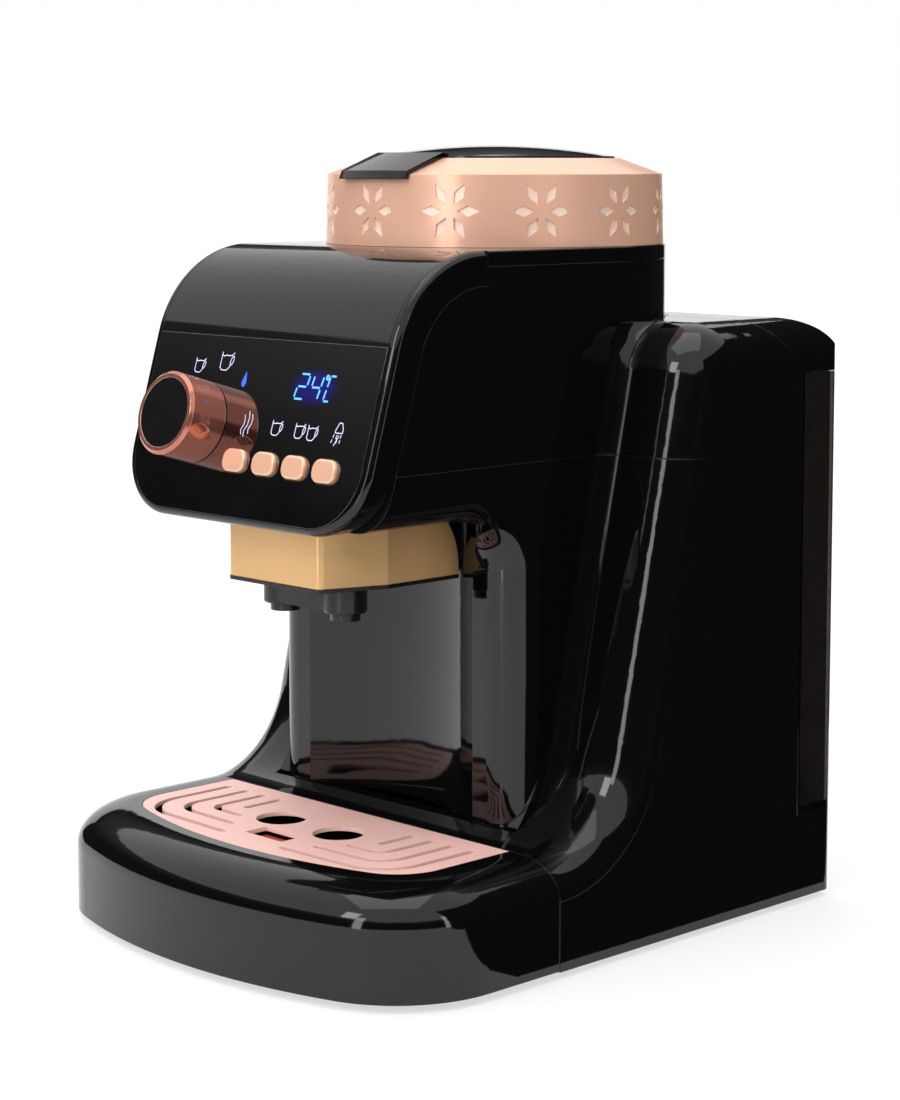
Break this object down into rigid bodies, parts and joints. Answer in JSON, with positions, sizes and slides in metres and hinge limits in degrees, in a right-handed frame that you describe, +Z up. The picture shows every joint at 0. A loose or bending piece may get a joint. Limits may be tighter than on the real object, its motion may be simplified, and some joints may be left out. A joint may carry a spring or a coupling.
{
  "type": "bean to cup coffee machine",
  "caption": "Countertop coffee machine with a bean hopper on a round tower, a leaning control panel with knob and buttons, twin spouts, a drip tray and a lift-out water tank at the back.",
  "frame": {"origin": "on the surface the machine stands on, under the middle of its body", "axes": "+Z up, -Y is the front with the panel and spouts, +X to the right of someone facing the front"},
  "size_m": [0.2346, 0.283, 0.3372],
  "materials": {
    "base_black": "fine moulded grain",
    "foot_rubber": "matt",
    "plain_steel": "zinc plated",
    "housing_gloss": "high gloss moulding",
    "frame_gloss": "high gloss moulding",
    "panel_gloss": "polished glossy sheet",
    "lid_gloss": "high gloss moulding",
    "grille_copper": "satin copper colour",
    "float_red": "satin",
    "tank_smoke": "clear smoked moulding",
    "valve_grey": "moulded",
    "ring_copper": "satin copper coating",
    "hopper_smoke": "clear smoked moulding",
    "inner_black": "moulded",
    "burr_steel": "ground",
    "gear_nylon": "moulded nylon",
    "motor_steel": "drawn steel can",
    "heater_alloy": "die cast",
    "seal_rubber": "silicone",
    "band_gold": "polished gold plating",
    "holder_black": "satin moulding",
    "basket_steel": "pressed stainless steel",
    "spout_black": "satin moulding",
    "board_green": "solder mask",
    "display_glass": "display window",
    "knob_copper": "satin copper coating",
    "knob_face": "polished",
    "button_copper": "satin copper coating",
    "hose_silicone": "translucent silicone",
    "inlet_black": "moulded"
  },
  "bodies": {
    "machine": {"base_plate": "base_black", "rubber_feet": "foot_rubber", "base_screws": "plain_steel", "fender_cover": "housing_gloss", "rear_housing": "housing_gloss", "panel_frame": "frame_gloss", "brow_cover": "panel_gloss", "control_panel": "panel_gloss", "column_shell": "housing_gloss", "head_shell": "housing_gloss", "top_cover": "housing_gloss", "hopper_ring": "ring_copper", "bean_hopper": "hopper_smoke", "grinder_housing": "inner_black", "upper_burr": "burr_steel", "grinder_motor": "motor_steel", "chassis": "plain_steel", "brew_head": "heater_alloy", "brew_gasket": "seal_rubber", "grounds_chute": "inner_black", "holder_guides": "plain_steel", "control_board": "board_green", "display_module": "display_glass", "encoder": "inner_black", "thermoblock": "heater_alloy", "solenoid_valve": "valve_grey", "water_pump": "motor_steel", "flow_meter": "valve_grey", "tank_seat": "seal_rubber", "hose_tank": "hose_silicone", "hose_pump": "hose_silicone", "hose_heater": "hose_silicone", "hose_brew": "hose_silicone", "main_board": "board_green", "power_inlet": "inlet_black"},
    "knob": {"knob_shaft": "plain_steel", "selector_knob": "knob_copper", "knob_disc": "knob_face"},
    "push_button_1": {"button_1": "button_copper"},
    "push_button_2": {"button_2": "button_copper"},
    "push_button_3": {"button_3": "button_copper"},
    "push_button_4": {"button_4": "button_copper"},
    "bean_lid": {"hopper_lid": "lid_gloss"},
    "burr_rotor": {"lower_burr": "burr_steel", "burr_gear": "gear_nylon"},
    "motor_rotor": {"motor_pinion": "burr_steel"},
    "tray": {"drip_tray": "housing_gloss"},
    "grille": {"drip_grille": "grille_copper"},
    "float": {"drip_float": "float_red"},
    "tank": {"water_tank": "tank_smoke"},
    "tank_cap": {"tank_lid": "lid_gloss"},
    "outlet_valve": {"tank_valve": "valve_grey"},
    "holder": {"brew_holder": "holder_black", "gold_band": "band_gold", "filter_basket": "basket_steel", "spouts": "spout_black"}
  },
  "joints": [
    {"name": "knob_turn", "type": "hinge", "parent": "machine", "child": "knob", "pos_m": [-0.0342, -0.10074, 0.22096], "axis": [0, -0.9588, 0.284], "range_deg": [-135, 135]},
    {"name": "button_1_press", "type": "slide", "parent": "machine", "child": "push_button_1", "axis": [0, 0.9588, -0.284], "range_m": [0, 0.0012], "stiffness_N_per_m": 400, "springref_m": -0.001},
    {"name": "button_2_press", "type": "slide", "parent": "machine", "child": "push_button_2", "axis": [0, 0.9588, -0.284], "range_m": [0, 0.0012], "stiffness_N_per_m": 400, "springref_m": -0.001},
    {"name": "button_3_press", "type": "slide", "parent": "machine", "child": "push_button_3", "axis": [0, 0.9588, -0.284], "range_m": [0, 0.0012], "stiffness_N_per_m": 400, "springref_m": -0.001},
    {"name": "button_4_press", "type": "slide", "parent": "machine", "child": "push_button_4", "axis": [0, 0.9588, -0.284], "range_m": [0, 0.0012], "stiffness_N_per_m": 400, "springref_m": -0.001},
    {"name": "bean_lid_lift", "type": "slide", "parent": "machine", "child": "bean_lid", "axis": [0, 0, 1], "range_m": [0, 0.06]},
    {"name": "burr_spin", "type": "hinge", "parent": "machine", "child": "burr_rotor", "pos_m": [0, 0.042, 0.235], "axis": [0, 0, 1], "continuous": true},
    {"name": "motor_spin", "type": "hinge", "parent": "machine", "child": "motor_rotor", "pos_m": [0.0336, 0.042, 0.235], "axis": [0, 0, 1], "continuous": true},
    {"name": "tray_slide", "type": "slide", "parent": "machine", "child": "tray", "axis": [0, -1, 0], "range_m": [0, 0.12]},
    {"name": "grille_lift", "type": "slide", "parent": "tray", "child": "grille", "axis": [0, 0, 1], "range_m": [0, 0.06]},
    {"name": "float_rise", "type": "slide", "parent": "tray", "child": "float", "axis": [0, 0, 1], "range_m": [0, 0.006]},
    {"name": "tank_lift", "type": "slide", "parent": "machine", "child": "tank", "axis": [0, 0, 1], "range_m": [0, 0.2]},
    {"name": "tank_cap_lift", "type": "slide", "parent": "tank", "child": "tank_cap", "axis": [0, 0, 1], "range_m": [0, 0.08]},
    {"name": "outlet_valve_lift", "type": "slide", "parent": "tank", "child": "outlet_valve", "axis": [0, 0, 1], "range_m": [0, 0.003], "stiffness_N_per_m": 50, "springref_m": -0.004},
    {"name": "holder_pull_down", "type": "slide", "parent": "machine", "child": "holder", "axis": [0, 0, -1], "range_m": [0, 0.03]}
  ],
  "couplings": [
    {"joint": "motor_spin", "follows": "burr_spin", "ratio": -3}
  ]
}
